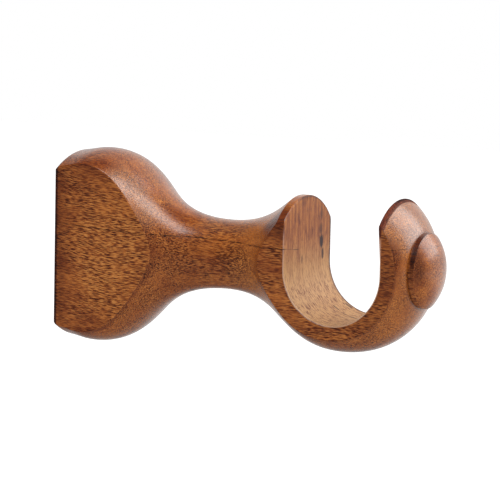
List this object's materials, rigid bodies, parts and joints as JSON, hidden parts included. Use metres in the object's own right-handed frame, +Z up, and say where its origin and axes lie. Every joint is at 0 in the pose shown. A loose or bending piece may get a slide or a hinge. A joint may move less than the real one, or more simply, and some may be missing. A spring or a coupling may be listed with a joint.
{
  "type": "curtain pole bracket",
  "caption": "Turned wooden return bracket: planed round base against the wall, slim waist, and a hooked head with an open U seat for a curtain pole and a domed button at the tip.",
  "frame": {"origin": "point where the turning axis meets the wall, at the middle of the flat back", "axes": "+X out from the wall along the turning axis, +Y along the pole, +Z up towards the open side of the seat"},
  "size_m": [0.1417, 0.0354, 0.069],
  "materials": {
    "stained_wood": "warm brown stain under satin clear lacquer"
  },
  "bodies": {
    "root": {"bracket": "stained_wood"}
  },
  "joints": []
}
